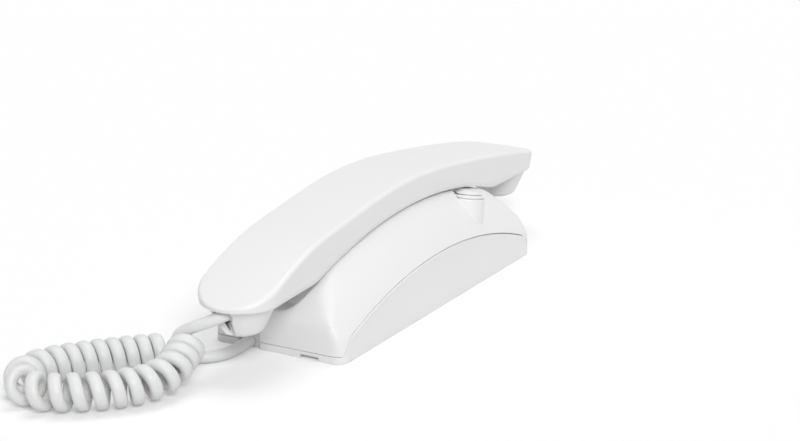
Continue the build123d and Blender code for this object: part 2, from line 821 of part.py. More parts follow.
def handset_under_face(rise):
    """The side outline of everything under the handset's underside, raised by rise."""
    radius = handset_under_radius + rise
    flat = handset_end_under_height + rise
    turn_y = math.sqrt(radius**2 - (flat - arc_axis_height)**2)
    far = handset_end_y + handset_mouth_reach + overrun
    arch = ThreePointArc((-turn_y, flat), (0, radius + arc_axis_height), (turn_y, flat))
    rest = Polyline((turn_y, flat), (far, flat), (far, -overrun), (-far, -overrun), (-far, flat),
                    (-turn_y, flat))
    face = make_face([arch, rest])
    turns = [corner for corner in face.vertices() if abs(abs(corner.X) - turn_y) < rest_clearance]
    return fillet(turns, handset_under_rounding)


def handset_form(inset, drop, rise):
    """The handset's form with its sides drawn in, its top lowered and its underside raised."""
    levels = (handset_end_under_height - overrun, handset_top_height + overrun)
    faces = [Pos(0, 0, level) * handset_outline(inset + (handset_top_height - level) * wall_lean_share)
             for level in levels]
    form = loft(faces, ruled=True) & side_prism(handset_top_face(drop), base_span)
    return form - side_prism(handset_under_face(rise), base_span)


def outer_cover():
    form = handset_form(0, 0, 0)
    cover = form - handset_form(cover_wall, cover_wall, -overrun)
    pilot_top = handset_screw_seat_height + handset_screw_bite + case_pilot_spare
    for end in (-1, 1):
        y = end * handset_post_y
        cover += post(0, y, handset_post_foot_height, handset_top_height, handset_post_diameter) & form
        cover -= post(0, y, 0, pilot_top, handset_screw_diameter + 2 * case_screw_pilot_clearance)
    return cover - gland_flange_room() - gland_rod(-gland_fit, gland_length, gland_diameter + 2 * gland_fit)


def gland_rod(low, high, diameter):
    """A cylinder along the handset's cord exit, from low to high inwards of the gland's face."""
    inward = Plane(gland_face, z_dir=-handset_exit)
    return extrude(inward.offset(low) * Circle(diameter / 2), high - low)


def gland_flange_room():
    """The groove that the gland's flange sits in."""
    return gland_rod(gland_length - gland_flange_length, gland_length + gland_fit,
                     gland_flange_diameter + 2 * gland_fit)


def cord_notch():
    """The notch in the mouth boss that the cord leaves through, open downwards."""
    across = Vector(0, 0, 1).cross(handset_exit).normalized()
    place = Plane(gland_face, x_dir=across, z_dir=handset_exit)
    above = cord_diameter / 2 + cord_notch_clearance
    depth = 2 * boss_drop
    notch = Box(cord_notch_width, above + depth, 2 * boss_drop)
    return place * Pos(0, (above - depth) / 2, boss_drop) * notch


def boss(end):
    """An ear or mouth boss, its foot rounded."""
    form = cone(end * boss_y, boss_foot, handset_end_under_height, boss_bottom_diameter, boss_top_diameter)
    return fillet(form.edges().group_by(Axis.Z)[0], boss_rounding)


def sound_holes(end, ring_count):
    holes = [post(0, end * boss_y, boss_foot - overrun, boss_floor + boss_wall, sound_hole_diameter)]
    for number in range(ring_count):
        angle = math.radians(full_turn / ring_count * number)
        holes.append(post(sound_hole_ring_diameter / 2 * math.cos(angle),
                          end * boss_y + sound_hole_ring_diameter / 2 * math.sin(angle),
                          boss_foot - overrun, boss_floor + boss_wall, sound_hole_diameter))
    return holes


def inner_shell():
    inside = handset_form(shell_inset, shell_inset, 0)
    shell = inside - handset_form(shell_inset, shell_inset, shell_thickness)
    mouth, ear = boss(-1), boss(1)
    housing = gland_rod(-overrun, gland_length - gland_flange_length,
                        gland_diameter + 2 * gland_housing_wall)
    slope_share = (boss_top_diameter - boss_bottom_diameter) / boss_drop
    hollow_foot = boss_bottom_diameter + slope_share * boss_wall - 2 * boss_wall
    hollow_top = boss_top_diameter - 2 * boss_wall
    collar_top = boss_floor + microphone_collar_height
    collar_bore = microphone_boot_diameter + 2 * microphone_fit
    shell = shell + mouth + ear
    shell -= cone(-boss_y, boss_floor, handset_end_under_height, hollow_foot, hollow_top)
    shell -= post(0, -boss_y, handset_end_under_height, handset_top_height, hollow_top)
    shell += post(0, -boss_y, boss_floor, collar_top, collar_bore + 2 * microphone_collar_wall)
    shell -= post(0, -boss_y, boss_floor, collar_top + overrun, collar_bore)
    shell += housing & (inside + mouth)
    shell -= gland_rod(-overrun, gland_length, gland_diameter + 2 * gland_fit)
    shell -= gland_flange_room()
    shell -= cord_notch()
    shell -= post(0, boss_y, earpiece_seat_height, handset_top_height, earpiece_diameter + 2 * earpiece_fit)
    shell -= cone(boss_y, boss_floor, earpiece_seat_height, earpiece_chamber_bottom_diameter,
                  earpiece_chamber_top_diameter)
    for hole in sound_holes(1, sound_hole_count) + sound_holes(-1, 0):
        shell -= hole
    for end in (-1, 1):
        y = end * handset_post_y
        under = arc_height(handset_under_radius, handset_post_y + handset_screw_boss_diameter)
        shell += post(0, y, under, handset_post_foot_height, handset_screw_boss_diameter) & inside
        shell -= post(0, y, 0, handset_screw_seat_height,
                      handset_screw_head_diameter + 2 * head_recess_clearance)
        shell -= post(0, y, 0, handset_top_height, handset_screw_diameter + 2 * board_hole_clearance)
    return shell


def screw(x, y, seat, bite_top, shank_diameter, head_diameter, head_height):
    """A screw driven from below, its head under the seat."""
    return post(x, y, seat, bite_top, shank_diameter) + post(x, y, seat - head_height, seat, head_diameter)


def handset_screws():
    top = handset_screw_seat_height + handset_screw_bite
    return Compound(children=[screw(0, end * handset_post_y, handset_screw_seat_height, top,
                                    handset_screw_diameter, handset_screw_head_diameter,
                                    handset_screw_head_height) for end in (-1, 1)])


def case_screws():
    top = case_pillar_split_height + case_screw_bite
    return Compound(children=[screw(x, y, case_head_seat, top, case_screw_shank_diameter,
                                    case_screw_head_diameter, case_screw_head_height)
                              for x, y in corners(case_pillar_x, case_pillar_y)])


def earpiece_gasket():
    ring = post(0, boss_y, earpiece_seat_height, earpiece_seat_height + gasket_thickness, earpiece_diameter)
    return ring - post(0, boss_y, 0, handset_top_height, earpiece_chamber_top_diameter)


def earpiece_capsule():
    foot = earpiece_seat_height + gasket_thickness
    top = foot + earpiece_height
    return (post(0, boss_y, foot, top, earpiece_diameter)
            + post(0, boss_y, top, top + earpiece_magnet_height, earpiece_magnet_diameter))


def microphone_boot():
    boot = post(0, -boss_y, boss_floor, boss_floor + microphone_boot_height, microphone_boot_diameter)
    boot -= post(0, -boss_y, boss_floor + microphone_lip, handset_top_height,
                 microphone_diameter + 2 * microphone_fit)
    return boot - post(0, -boss_y, 0, handset_top_height, microphone_window_diameter)


def microphone_capsule():
    foot = boss_floor + microphone_lip
    return post(0, -boss_y, foot, foot + microphone_height, microphone_diameter)


def cord_gland():
    return (gland_rod(0, gland_length, gland_diameter)
            + gland_rod(gland_length - gland_flange_length, gland_length, gland_flange_diameter))


def cord_grommet():
    return block(cord_entry_x, (grommet_front_y + grommet_back_y) / 2, 0, grommet_width, grommet_length,
                 grommet_height)


save("base_lower_casing", lower_casing())
save("base_upper_casing", upper_casing())
save("case_screws", case_screws())
save("circuit_board", circuit_board())
save("board_screws", board_screws())
save("board_chip", block(0, chip_y, board_top, chip_length, chip_width, chip_height))
save("board_capacitors", board_capacitors())
save("lead_connector", block(connector_x, connector_y, board_top, connector_width, connector_length,
                             connector_height))
save("terminal_block", terminal_block())
save("terminal_screws", terminal_screws())
save("call_buzzer", call_buzzer())
save("hook_switch", hook_switch())
save("hook_bracket", hook_bracket())
save("hook_plunger", hook_plunger())
save("hook_spring", hook_spring())
save("button_bezel", bezel())
save("door_button", door_button())
save("door_stem", door_stem())
save("door_switch_body", door_switch_body())
save("button_board", button_board())
save("base_cord_grommet", cord_grommet())
save("base_lead", base_lead())
save("cord_tail_base", cord_tail_base())
save("cord_coil", cord_coil())
save("cord_tail_handset", cord_tail_handset())
save("handset_cord_gland", cord_gland())
save("handset_outer_cover", outer_cover())
save("handset_inner_shell", inner_shell())
save("handset_screws", handset_screws())
save("earpiece_capsule", earpiece_capsule())
save("earpiece_gasket", earpiece_gasket())
save("microphone_boot", microphone_boot())
save("microphone_capsule", microphone_capsule())
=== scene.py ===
import json
import math

import bmesh
import bpy
import numpy as np
from mathutils import Matrix, Vector


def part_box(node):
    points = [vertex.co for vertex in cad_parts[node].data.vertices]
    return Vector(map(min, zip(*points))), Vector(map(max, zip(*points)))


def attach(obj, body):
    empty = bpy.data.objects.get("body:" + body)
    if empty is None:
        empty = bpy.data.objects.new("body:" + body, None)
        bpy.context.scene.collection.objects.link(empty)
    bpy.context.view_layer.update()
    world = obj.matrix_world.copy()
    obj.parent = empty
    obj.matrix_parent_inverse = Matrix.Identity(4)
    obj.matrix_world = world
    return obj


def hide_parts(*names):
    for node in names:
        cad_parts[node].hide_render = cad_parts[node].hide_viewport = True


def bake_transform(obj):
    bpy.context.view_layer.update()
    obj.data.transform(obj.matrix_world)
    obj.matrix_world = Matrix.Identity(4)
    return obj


# The intercom's looks: casings with soft edges, a curly cord, and finishes for every piece.
# Metres, in the frame's own axes: +Y from the mouth end to the ear end, +Z up.

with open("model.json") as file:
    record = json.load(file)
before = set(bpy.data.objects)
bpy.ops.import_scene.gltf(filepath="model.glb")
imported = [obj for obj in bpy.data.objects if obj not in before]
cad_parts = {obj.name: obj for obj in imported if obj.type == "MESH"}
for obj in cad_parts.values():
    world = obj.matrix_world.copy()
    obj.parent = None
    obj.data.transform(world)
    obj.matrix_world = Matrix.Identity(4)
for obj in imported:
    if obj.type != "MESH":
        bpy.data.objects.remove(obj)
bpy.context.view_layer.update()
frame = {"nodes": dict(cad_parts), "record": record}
scene = bpy.context.scene

# Camera
camera_place = Vector((0.4366, -0.7560, 0.3040))
camera_back = Vector((0.4699, -0.8305, 0.2990))
camera_lens_mm = 104.5
sensor_width_mm = 36.0
view_reach = 20

# Base. Its arcs share one axis, and crease and hump are corners of its cross-section as (x, height).
base_half_length = 0.077
base_half_width = 0.02835
base_corner_radius = 0.0045
arc_axis_height = -0.1725
seam_height = 0.0220
seam_gap = 0.0003
seam_lip_gap = 0.00018
seam_corner_gap = 0.0008
seam_lip_height = 0.0028
seam_lip_y = 0.0754
seam_arc_end_y = 0.0704
seam_arc_reach_y = 0.0765
crease = Vector((0.0234, 0.0295))
hump = Vector((0.0143, 0.0387))
shoulder_bulge = 0.0005
hump_rounding = 0.0010
crease_rounding_sharp = 0.0003
crease_rounding_soft = 0.0012
crease_soft_y = 0.030
crease_sharp_y = 0.062
end_slope_y = 0.0672
end_face_height = 0.0142
end_slope_rounding_low = 0.0010
end_slope_rounding_high = 0.0060
end_face_rounding = 0.0022
side_rounding = 0.0003
hollow_floor = 0.0162
hollow_breadth = 0.0128
hollow_end_y = 0.0665
hollow_end_lean = 2.2
hollow_rounding = 0.0006
casing_wall = 0.0020
casing_spine_y = 0.058
casing_ray_length = 0.12
casing_side_stations = 150
casing_end_stations = 72
casing_inner_rings = 16
casing_outer_rings = 64
casing_edge_degrees = 40

# Openings in the base
plunger_hole_y = 0.0120
plunger_hole_radius = 0.00258
plunger_cut_height = 0.06
grommet_slack = 0.0001
grommet_cut_margin = 0.010
button_cut_gap = 0.0003
button_cut_depth = 0.020
button_cut_rise = 0.010

# Door button
button_x = 0.0182
button_y = 0.0390
button_seat_radius = 0.2086
button_tower_radius = 0.0071
button_tower_depth = 0.0098
button_tower_rounding = 0.0004
button_bore_radius = 0.00615
bezel_outer_radius = 0.0066
bezel_inner_radius = 0.00548
bezel_rise = 0.0013
bezel_groove = 0.0004
bezel_rounding = 0.0003
bezel_chamfer = 0.0002
button_groove_depth = 0.0005
cap_radius = 0.0052
cap_rim_rise = 0.0017
cap_edge = 0.0001
cap_dome_rise = 0.0012
cap_dome_margin = 0.0005
cap_dome_steps = 16
cap_foot_drop = 0.0011
button_edge_degrees = 45

# Handset cover. The tables give its half width and its top along its length, as shares of the full sizes.
handset_half_width = 0.0165
handset_end_y = 0.1000
handset_mouth_reach = 0.01855
handset_ear_reach = 0.01795
handset_top_height = 0.0515
handset_under_radius = 0.2120
handset_end_under = 0.0276
handset_under_rounding = 0.00168
handset_lean = math.tan(math.radians(9.0))
handset_rim_rounding = 0.0018
handset_crown = 0.0003
handset_side_shares = [(-1.0, 1.15), (-0.8, 1.08), (-0.5, 1.03), (0.0, 1.0), (0.5, 1.03), (0.8, 1.05),
                       (1.0, 1.08)]
handset_top_shares = [(-1.05, -0.11), (-0.895, 0.226), (-0.776, 0.47), (-0.658, 0.657), (-0.422, 0.845),
                      (-0.169, 0.979), (0.084, 0.979), (0.338, 0.837), (0.608, 0.632), (0.802, 0.448),
                      (0.911, 0.318), (1.05, 0.1)]
cover_wall = 0.0020
cover_lip_rounding = 0.0002
cover_foot_rise = 0.0003
rim_share_of_height = 0.8
cover_inner_shares = (0.30, 0.02)
cover_side_shares = (0.2, 0.4, 0.6, 0.8, 1.0)
cover_rim_steps = 8
cover_top_shares = (0.93, 0.84, 0.72, 0.58, 0.42, 0.26, 0.12)
cover_side_stations = 90
cover_end_stations = 48
cover_edge_degrees = 50

# Cord
cord_diameter = 0.0045
coil_mean_radius = 0.0049
curl_count = 22
first_curl_lean = 22.0
last_curl_lean = 180.0
coil_hook_radius = 0.0056
coil_hook_steps = 9
loose_curls = (0.33, 0.37, 0.13)
inner_reach_share = 1.12
bend_reach_share = 0.022
axis_slices = 200
samples_per_quarter_turn = 7
curl_half_breadth = 0.00238
curl_half_depth = 0.00208
curl_squareness = 0.18
cord_sides = 16
cord_ring_spacing = 0.0007
cord_smoothing = 0.25
cord_smoothing_rounds = 3
curl_easing = 0.4
curl_easing_rounds = 12
route_order = 3
route_steps = 40
gland_face = Vector((0.00044, -0.10932, 0.02545))
handset_tail_corner = Vector((-0.00390, -0.11436, 0.02328))
grommet_face = Vector((-0.0120, -0.0760, 0.00245))
coil_axis_points = [
    (-0.0126, -0.1146, 0.0142), (-0.0112, -0.1226, 0.0113), (-0.0098, -0.1310, 0.0090),
    (-0.0118, -0.1402, 0.0077), (-0.0174, -0.1486, 0.00735), (-0.0248, -0.1564, 0.00735),
    (-0.0336, -0.1629, 0.00735), (-0.0424, -0.1661, 0.00735), (-0.0509, -0.1633, 0.00735),
    (-0.0559, -0.1558, 0.00735), (-0.0552, -0.1468, 0.00735), (-0.0506, -0.1388, 0.00735),
    (-0.0446, -0.1310, 0.00735), (-0.0382, -0.1238, 0.00735), (-0.0319, -0.1172, 0.00735),
    (-0.0262, -0.1120, 0.00735)]
base_tail_points = [(-0.01388, -0.09559), (-0.01208, -0.09114), (-0.0117, -0.0859), (-0.0120, -0.0810)]
base_tail_run = 0.0046
near_strand_share = 0.3227

# Finishes
cloud_detail = 4
cloud_low = 0.35
cloud_high = 0.65
grain_scale = 2600
grain_detail = 3
grain_depth = 0.0001
soft_edge_samples = 6

# Surroundings
white = (1, 1, 1, 1)
floor_grey = (0.80, 0.80, 0.80, 1)
floor_reach = 3
floor_glow = 0.20
sky_strength = 0.45


# Shared helpers

def mesh_piece(name, points, faces, smooth=True):
    """A new mesh object from points and faces."""
    mesh = bpy.data.meshes.new(name)
    mesh.from_pydata([tuple(point) for point in points], [], faces)
    mesh.update()
    for face in mesh.polygons:
        face.use_smooth = smooth
    piece = bpy.data.objects.new(name, mesh)
    scene.collection.objects.link(piece)
    return piece


def ring_faces(ring_count, around):
    """Faces between rings that follow each other, each ring with the same count of points."""
    faces = []
    for number in range(ring_count - 1):
        for step in range(around):
            a, b = number * around + step, number * around + (step + 1) % around
            faces.append((a, b, b + around, a + around))
    return faces


def merge_doubles(piece, closeness=0.00001):
    """Join points that coincide, and face everything outwards."""
    work = bmesh.new()
    work.from_mesh(piece.data)
    bmesh.ops.remove_doubles(work, verts=work.verts, dist=closeness)
    bmesh.ops.recalc_face_normals(work, faces=work.faces)
    work.to_mesh(piece.data)
    work.free()


def sharpen(piece, degrees):
    """Smooth shading that keeps edges above this angle sharp."""
    piece.data.shade_smooth()
    piece.data.set_sharp_from_angle(angle=math.radians(degrees))


def dress(piece, material):
    """One finish over the whole piece."""
    piece.data.materials.clear()
    piece.data.materials.append(material)


def smooth_max(a, b, reach):
    """The larger value, with the corner between the two rounded over this reach."""
    near = np.maximum(reach - np.abs(a - b), 0) / reach
    return np.maximum(a, b) + near**2 * reach / 4


def smooth_through(table):
    """A cubic spline through a table's points, as a function."""
    x, y = np.array(table).T
    gaps, count = np.diff(x), len(x)
    matrix, right = np.eye(count), np.zeros(count)
    for number in range(1, count - 1):
        before, after = gaps[number - 1], gaps[number]
        matrix[number, number - 1:number + 2] = before, 2 * (before + after), after
        right[number] = 6 * ((y[number + 1] - y[number]) / after - (y[number] - y[number - 1]) / before)
    curving = np.linalg.solve(matrix, right)

    def value(place):
        span = np.clip(np.searchsorted(x, place) - 1, 0, count - 2)
        gap = gaps[span]
        ahead, behind = (x[span + 1] - place) / gap, (place - x[span]) / gap
        bend = ((ahead**3 - ahead) * curving[span] + (behind**3 - behind) * curving[span + 1]) * gap**2 / 6
        return ahead * y[span] + behind * y[span + 1] + bend

    return value


class Line:
    """Places and directions along a line of points, by distance."""

    def __init__(self, points):
        self.points = np.array([tuple(point) for point in points])
        steps = np.linalg.norm(np.diff(self.points, axis=0), axis=1)
        self.marks = np.concatenate([[0], np.cumsum(steps)])
        self.length = float(self.marks[-1])

    def at(self, distance):
        """The place at this distance from the line's start."""
        return Vector([float(np.interp(distance, self.marks, self.points[:, axis])) for axis in range(3)])

    def way(self, distance, reach=0.001):
        """The direction at this distance, taken over a short reach to either side."""
        low, high = max(distance - reach, 0), min(distance + reach, self.length)
        return (self.at(high) - self.at(low)).normalized()


# Camera

def add_camera():
    """The camera that sees the unit from its mouth end, a little from above."""
    right = Vector((0, 0, 1)).cross(camera_back).normalized()
    up = camera_back.normalized().cross(right)
    camera = bpy.data.cameras.new("camera")
    camera.lens = camera_lens_mm
    camera.sensor_width = sensor_width_mm
    camera.clip_end = view_reach
    holder = bpy.data.objects.new("camera", camera)
    turn = Matrix((right, up, camera_back.normalized())).transposed().to_4x4()
    holder.matrix_world = Matrix.Translation(camera_place) @ turn
    scene.collection.objects.link(holder)
    scene.camera = holder


add_camera()


# Cord: a tail from the handset, the coil lying in a loop on the floor, and a tail to the base

def route_line(name, points):
    """Points close together along the smooth spline that has these control points."""
    curve = bpy.data.curves.new(name, "CURVE")
    curve.dimensions = "3D"
    curve.resolution_u = route_steps
    spline = curve.splines.new("NURBS")
    spline.points.add(len(points) - 1)
    for control, point in zip(spline.points, points):
        control.co = (*point, 1)
    spline.order_u = route_order
    spline.use_endpoint_u = True
    holder = bpy.data.objects.new(name, curve)
    line = bpy.data.meshes.new_from_object(holder)
    places = [vertex.co.copy() for vertex in line.vertices]
    bpy.data.objects.remove(holder)
    bpy.data.curves.remove(curve)
    bpy.data.meshes.remove(line)
    return places


def coil_places(axis, quarter_turns):
    """Distances along the axis of each quarter turn, closer where the curls lie closer."""
    looseness, loose_place, loose_spread = loose_curls
    counted = [0]
    for number in range(axis_slices):
        share = (number + 0.5) / axis_slices
        low = max(share - bend_reach_share, 0) * axis.length
        high = min(share + bend_reach_share, 1) * axis.length
        bend = axis.way(low).angle(axis.way(high)) / (high - low)
        loose = 1 + looseness * math.exp(-((share - loose_place) / loose_spread)**2)
        closeness = max(1 / (1 - inner_reach_share * coil_mean_radius * bend), loose)
        counted.append(counted[-1] + 1 / closeness)
    targets = np.linspace(0, counted[-1], quarter_turns + 1)
    return np.interp(targets, counted, np.linspace(0, axis.length, axis_slices + 1))


def curled_line():
    """The coil's wire: its places, and outward directions from the coil's axis."""
    axis = Line(route_line("coil_axis", coil_axis_points))
    turned = 360 * curl_count + last_curl_lean - first_curl_lean
    quarter_turns = round(turned / 90)
    places = coil_places(axis, quarter_turns)
    points, outwards = [], []
    samples = quarter_turns * samples_per_quarter_turn
    for sample in range(samples + 1):
        station = sample / samples * quarter_turns
        distance = float(np.interp(station, range(quarter_turns + 1), places))
        along = axis.way(distance)
        up = (Vector((0, 0, 1)) - along * along.z).normalized()
        angle = math.radians(first_curl_lean + turned / quarter_turns * station)
        outward = up * math.cos(angle) + along.cross(up) * math.sin(angle)
        points.append(axis.at(distance) + outward * coil_mean_radius)
        outwards.append(outward)
    return points, outwards, axis.way(axis.length)


def hook_line(start, way, out):
    """A quarter arc from the last curl's foot round to the axis's direction."""
    way = Vector((way.x, way.y, 0)).normalized()
    out = (out - way * out.dot(way)).normalized()
    centre = start + out * coil_hook_radius
    angles = [math.radians(90 * step / coil_hook_steps) for step in range(1, coil_hook_steps + 1)]
    return [centre - out * coil_hook_radius * math.cos(angle) + way * coil_hook_radius * math.sin(angle)
            for angle in angles], out


def cord_line():
    """The whole cord's places, how much each is a curl, and the outward directions of its curls."""
    curls, outwards, out = curled_line()
    start_way = (curls[1] - curls[0]).normalized()
    end_way = (curls[-1] - curls[-2]).normalized()
    lead_in = curls[0] - start_way * cord_diameter
    tail = route_line("handset_tail", [gland_face, handset_tail_corner, lead_in])
    hook, out = hook_line(curls[-1], end_way, out)
    lead_out = hook[-1] + out * cord_diameter
    floor_points = [(x, y, grommet_face.z) for x, y in base_tail_points]
    base_tail = route_line("base_tail", [lead_out, lead_out + out * base_tail_run]
                           + floor_points + [grommet_face])
    points = [point for part in (tail, curls, hook, base_tail) for point in part]
    first, last = len(tail), len(tail) + len(curls)
    directions = [outwards[min(max(number - first, 0), len(outwards) - 1)] for number in range(len(points))]
    curled = [1.0 if first <= number < last else 0.0 for number in range(len(points))]
    return points, curled, directions


def resample(points, values, spacing):
    """Even spacing along a line, with values carried along."""
    line = Line(points)
    count = round(line.length / spacing)
    marks = np.linspace(0, line.length, count + 1)
    placed = np.array([line.at(mark) for mark in marks])
    carried = [np.array([np.interp(mark, line.marks, column) for mark in marks])
               for column in np.array(values).T]
    for _ in range(cord_smoothing_rounds):
        placed[1:-1] += cord_smoothing * (placed[:-2] + placed[2:] - 2 * placed[1:-1])
    return placed, np.array(carried).T


def squared(part, share):
    """A cosine or sine pushed outwards, which makes a full curl's ring a little squarer than round."""
    return math.copysign(abs(part)**(1 - curl_squareness * share), part)


def cord_rings(points, curled, directions):
    """Rings of the cord: round on its tails and flatter on the coil's outside."""
    values = [[share, *direction] for share, direction in zip(curled, directions)]
    placed, carried = resample(points, values, cord_ring_spacing)
    for _ in range(curl_easing_rounds):
        carried[1:-1, 0] += curl_easing * (carried[:-2, 0] + carried[2:, 0] - 2 * carried[1:-1, 0])
    ways = np.gradient(placed, axis=0)
    ways /= np.linalg.norm(ways, axis=1)[:, None]
    outward = carried[:, 1:4]
    outward -= ways * np.sum(outward * ways, axis=1)[:, None]
    outward /= np.linalg.norm(outward, axis=1)[:, None]
    first = int(np.argmax(carried[:, 0] > 0.5))
    last = len(placed) - 1 - int(np.argmax(carried[::-1, 0] > 0.5))
    for order in (range(first - 1, -1, -1), range(last + 1, len(placed))):
        carried_over = outward[first if order.step < 0 else last]
        for number in order:
            carried_over = carried_over - ways[number] * carried_over.dot(ways[number])
            carried_over = carried_over / np.linalg.norm(carried_over)
            outward[number] = carried_over
    across = np.cross(ways, outward)
    rings = []
    for number in range(len(placed)):
        share = carried[number, 0]
        depth = cord_diameter / 2 + share * (curl_half_depth - cord_diameter / 2)
        breadth = cord_diameter / 2 + share * (curl_half_breadth - cord_diameter / 2)
        ring = []
        for step in range(cord_sides):
            angle = 2 * math.pi * step / cord_sides
            x = squared(math.cos(angle), share) * depth
            y = squared(math.sin(angle), share) * breadth
            ring.append(placed[number] + outward[number] * x + across[number] * y)
        rings.append(ring)
    return placed, rings


def tube_piece(name, rings):
    """A closed tube through rings of equal counts."""
    around = len(rings[0])
    points = [point for ring in rings for point in ring]
    faces = ring_faces(len(rings), around)
    faces.append(tuple(reversed(range(around))))
    faces.append(tuple(range(len(points) - around, len(points))))
    return mesh_piece(name, points, faces)


def add_cord():
    """The cord in two pieces: the strand near the handset, left where it is, and the one that goes with the
    base.
    """
    placed, rings = cord_rings(*cord_line())
    split = int(len(placed) * near_strand_share)
    near = tube_piece("curly_cord_near", rings[:split + 1])
    far = tube_piece("curly_cord_far", rings[split:])
    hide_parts("cord_tail_handset", "cord_coil")
    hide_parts("cord_tail_base")
    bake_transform(near)
    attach(far, "base")
    return near, far


cord_near, cord_far = add_cord()


# Finishes: white plastics outside, and metals, boards, black plastic and rubber inside

def node_material(name, colours, roughness, scale, bump=0.0, metallic=0.0, coat=0.0, subsurface=0.0,
                  edge=0.0):
    """Colour and roughness vary softly with a noise of this scale, and the surface has a fine texture."""
    material = bpy.data.materials.new(name)
    material.use_nodes = True
    nodes, links = material.node_tree.nodes, material.node_tree.links
    shader = nodes["Principled BSDF"]
    shader.inputs["Metallic"].default_value = metallic
    shader.inputs["Coat Weight"].default_value = coat
    shader.inputs["Subsurface Weight"].default_value = subsurface
    place = nodes.new("ShaderNodeTexCoord")
    cloudy = nodes.new("ShaderNodeTexNoise")
    cloudy.inputs["Scale"].default_value = scale
    cloudy.inputs["Detail"].default_value = cloud_detail
    links.new(place.outputs["Object"], cloudy.inputs["Vector"])
    ramp = nodes.new("ShaderNodeValToRGB")
    for stop, position, colour in zip(ramp.color_ramp.elements, (cloud_low, cloud_high), colours):
        stop.position = position
        stop.color = (*colour, 1)
    links.new(cloudy.outputs["Fac"], ramp.inputs["Fac"])
    links.new(ramp.outputs["Color"], shader.inputs["Base Color"])
    spread = nodes.new("ShaderNodeMapRange")
    spread.inputs["To Min"].default_value = roughness[0]
    spread.inputs["To Max"].default_value = roughness[1]
    links.new(cloudy.outputs["Fac"], spread.inputs["Value"])
    links.new(spread.outputs["Result"], shader.inputs["Roughness"])
    grain = nodes.new("ShaderNodeTexNoise")
    grain.inputs["Scale"].default_value = grain_scale
    grain.inputs["Detail"].default_value = grain_detail
    links.new(place.outputs["Object"], grain.inputs["Vector"])
    texture = nodes.new("ShaderNodeBump")
    texture.inputs["Strength"].default_value = bump
    texture.inputs["Distance"].default_value = grain_depth
    links.new(grain.outputs["Fac"], texture.inputs["Height"])
    if edge:
        soft_edge = nodes.new("ShaderNodeBevel")
        soft_edge.inputs["Radius"].default_value = edge
        soft_edge.samples = soft_edge_samples
        links.new(soft_edge.outputs["Normal"], texture.inputs["Normal"])
    links.new(texture.outputs["Normal"], shader.inputs["Normal"])
    return material


white_plastic = node_material("white_plastic", [(0.810, 0.810, 0.808), (0.818, 0.818, 0.816)],
                              roughness=(0.38, 0.40), scale=30, bump=0.02, edge=0.0004)
white_cover = node_material("white_cover", [(0.820, 0.820, 0.822), (0.828, 0.828, 0.830)],
                            roughness=(0.36, 0.38), scale=30, bump=0.02)
white_casing = node_material("white_casing", [(0.812, 0.812, 0.812), (0.820, 0.820, 0.820)],
                             roughness=(0.38, 0.40), scale=30, bump=0.02)
cord_plastic = node_material("cord_plastic", [(0.735, 0.735, 0.73), (0.755, 0.755, 0.75)],
                             roughness=(0.36, 0.42), scale=60, bump=0.15, subsurface=0.05)
steel = node_material("steel", [(0.50, 0.50, 0.51), (0.66, 0.66, 0.67)],
                      roughness=(0.28, 0.42), scale=900, bump=0.2, metallic=1.0)
spring_steel = node_material("spring_steel", [(0.42, 0.42, 0.44), (0.55, 0.55, 0.57)],
                             roughness=(0.22, 0.34), scale=700, bump=0.1, metallic=1.0)
aluminium = node_material("aluminium", [(0.68, 0.68, 0.69), (0.78, 0.78, 0.79)],
                          roughness=(0.30, 0.40), scale=500, bump=0.15, metallic=1.0)
board_green = node_material("board_green", [(0.015, 0.13, 0.05), (0.03, 0.19, 0.08)],
                            roughness=(0.30, 0.42), scale=400, bump=0.3, coat=0.3)
terminal_green = node_material("terminal_green", [(0.03, 0.22, 0.09), (0.05, 0.28, 0.12)],
                               roughness=(0.40, 0.50), scale=200, bump=0.2)
black_plastic = node_material("black_plastic", [(0.012, 0.012, 0.013), (0.022, 0.022, 0.023)],
                              roughness=(0.45, 0.58), scale=300, bump=0.3)
black_rubber = node_material("black_rubber", [(0.010, 0.010, 0.010), (0.020, 0.020, 0.020)],
                             roughness=(0.65, 0.80), scale=500, bump=0.5)

slot_materials = {
    "white_plastic": white_plastic, "white_cord": cord_plastic, "steel": steel,
    "spring_steel": spring_steel, "green_board": board_green, "black_plastic": black_plastic,
    "terminal_green": terminal_green, "black_rubber": black_rubber, "aluminium_can": aluminium}

for subpart in frame["record"]["subparts"]:
    node = frame["nodes"][subpart["node"]]
    for slot in node.material_slots:
        slot.material = slot_materials[subpart["material_slot"]]
for piece in (cord_near, cord_far):
    dress(piece, cord_plastic)


# Handset cover: rings round its outline, from the lower edge over the rim to a ridge along the middle

side_share = smooth_through(handset_side_shares)
top_share = smooth_through(handset_top_shares)


def handset_top(y):
    """Height of the cover's top along the middle."""
    share = top_share(y / (handset_end_y + handset_mouth_reach))
    return handset_end_under + share * (handset_top_height - handset_end_under)


def handset_under(y):
    """Height of the cover's lower edge: an arc, and level at the ends."""
    arc = np.sqrt(handset_under_radius**2 - np.minimum(np.abs(y), handset_end_y)**2) + arc_axis_height
    return smooth_max(arc, np.full_like(arc, handset_end_under), handset_under_rounding)


def handset_height(y):
    """Height of the cover from its lower edge to its top."""
    return handset_top(y) - handset_under(y)


def rim_rounding(y):
    """Radius of the rim, which is smaller where the cover is thin."""
    return np.minimum(handset_rim_rounding, rim_share_of_height * handset_height(y))


def inner_height(y, share):
    """A height on the inside of the cover's wall."""
    return handset_under(y) + share * np.maximum(handset_height(y) - cover_wall, 0)


def side_height(y, share):
    """A height on the cover's side, from its foot to where the rim begins."""
    foot = handset_under(y) + cover_foot_rise
    return foot + share * (handset_height(y) - rim_rounding(y) - cover_foot_rise) - handset_crown * share


def rim_height(y, angle):
    """A height on the rim's arc."""
    return handset_top(y) - handset_crown - rim_rounding(y) * (1 - math.sin(angle))


